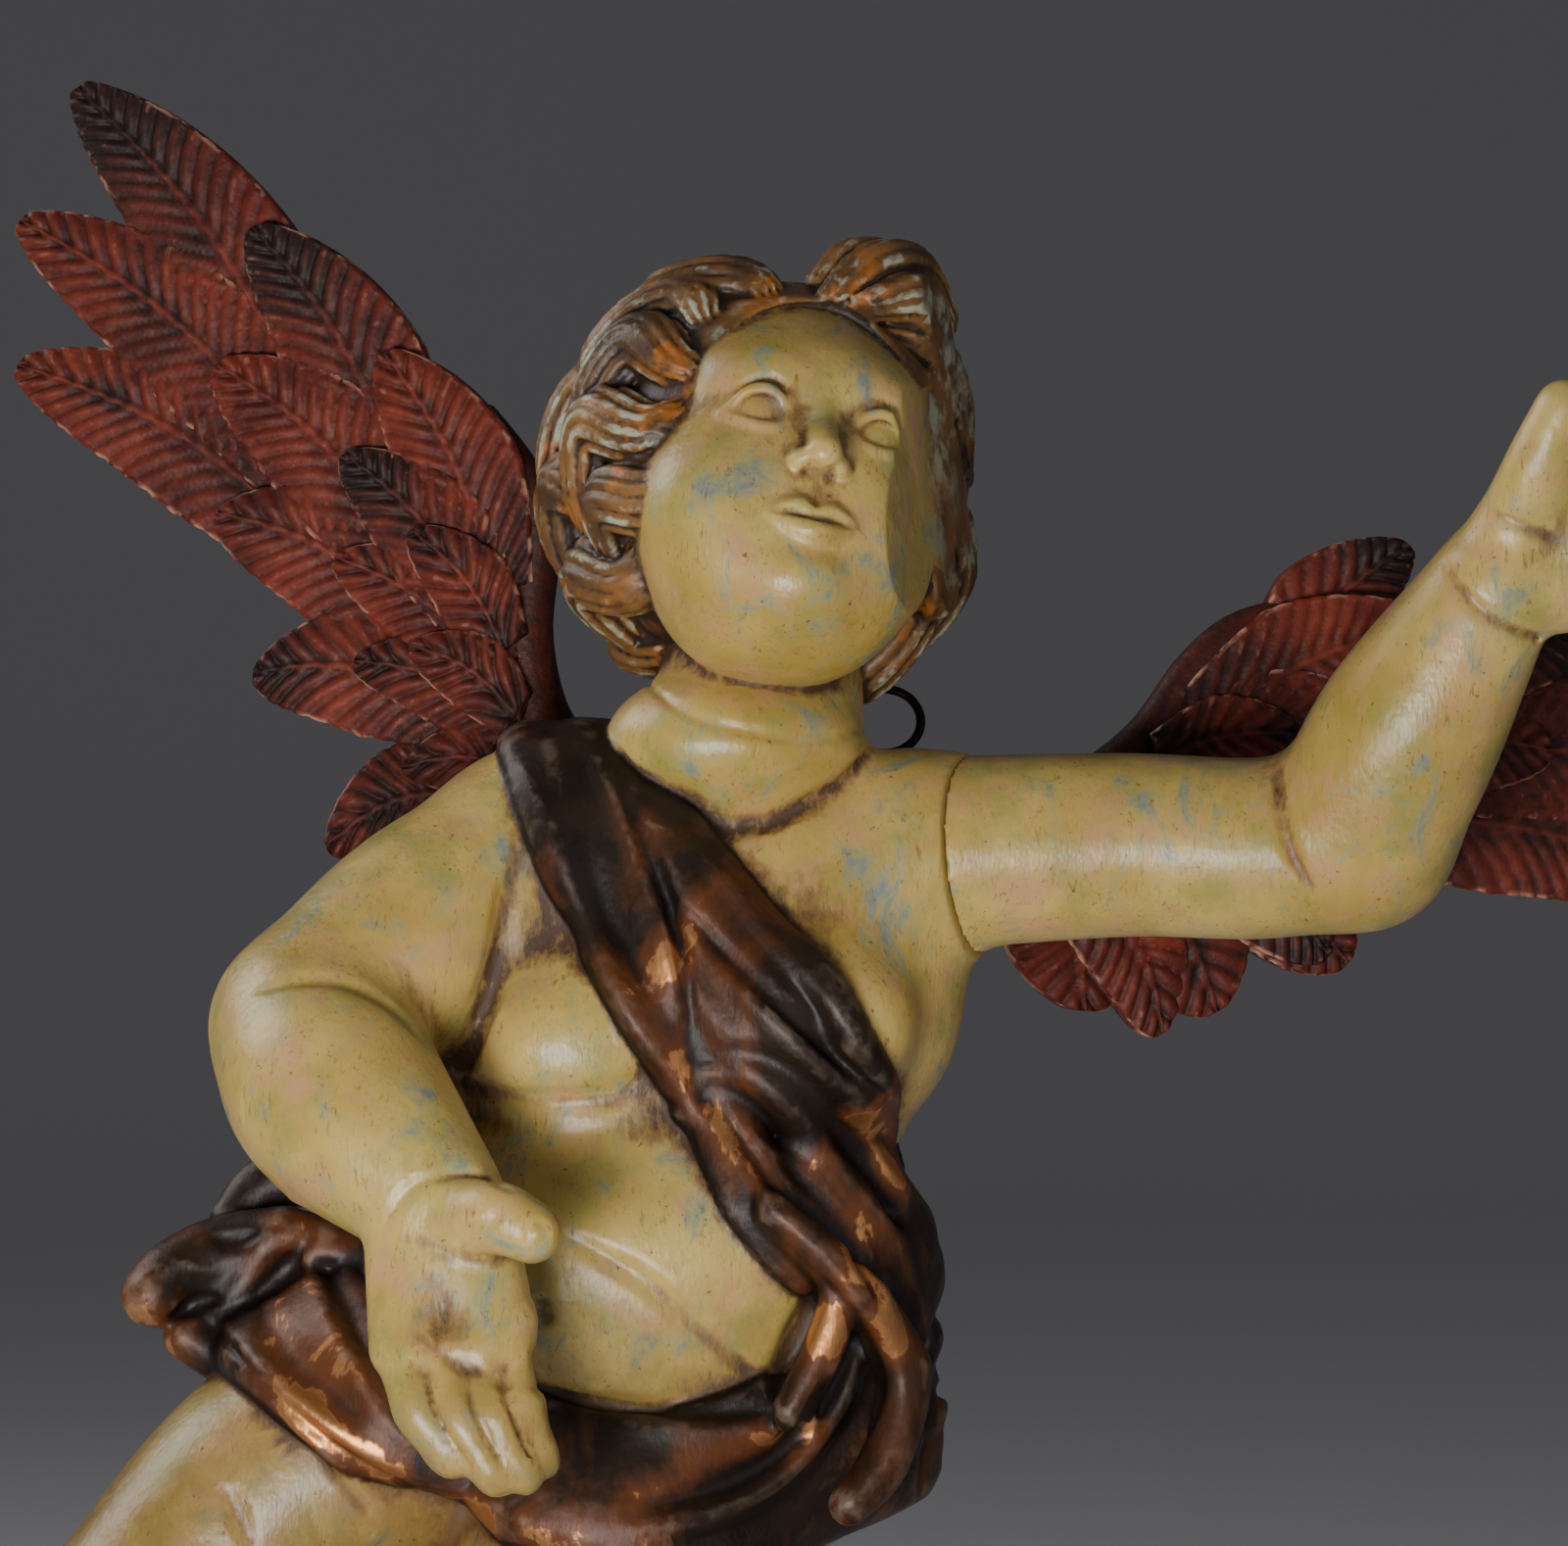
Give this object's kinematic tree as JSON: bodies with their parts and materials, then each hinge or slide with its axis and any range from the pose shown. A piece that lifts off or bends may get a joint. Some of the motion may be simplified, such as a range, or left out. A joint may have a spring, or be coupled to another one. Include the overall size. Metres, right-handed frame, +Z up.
{
  "type": "wooden angel statue",
  "caption": "Carved and painted wooden winged child in a gilded sash, one arm raised, head tipped back, on a low oval base.",
  "frame": {"origin": "centre of the base's underside", "axes": "+Z up, the figure faces -Y, its raised left arm points to +X"},
  "size_m": [0.6453, 0.2907, 0.7339],
  "materials": {
    "painted_flesh": "aged ochre and cream paint with umber wash, waxy satin",
    "red_wing_paint": "brick red paint with black-brown wash, matt to satin",
    "iron_wire": "dark drawn iron wire",
    "base_stain": "dark brown stain, waxed"
  },
  "bodies": {
    "root": {"figure": "painted_flesh", "left_arm": "painted_flesh", "right_wing": "red_wing_paint", "left_wing": "red_wing_paint", "back_ring": "iron_wire", "base": "base_stain"}
  },
  "joints": []
}
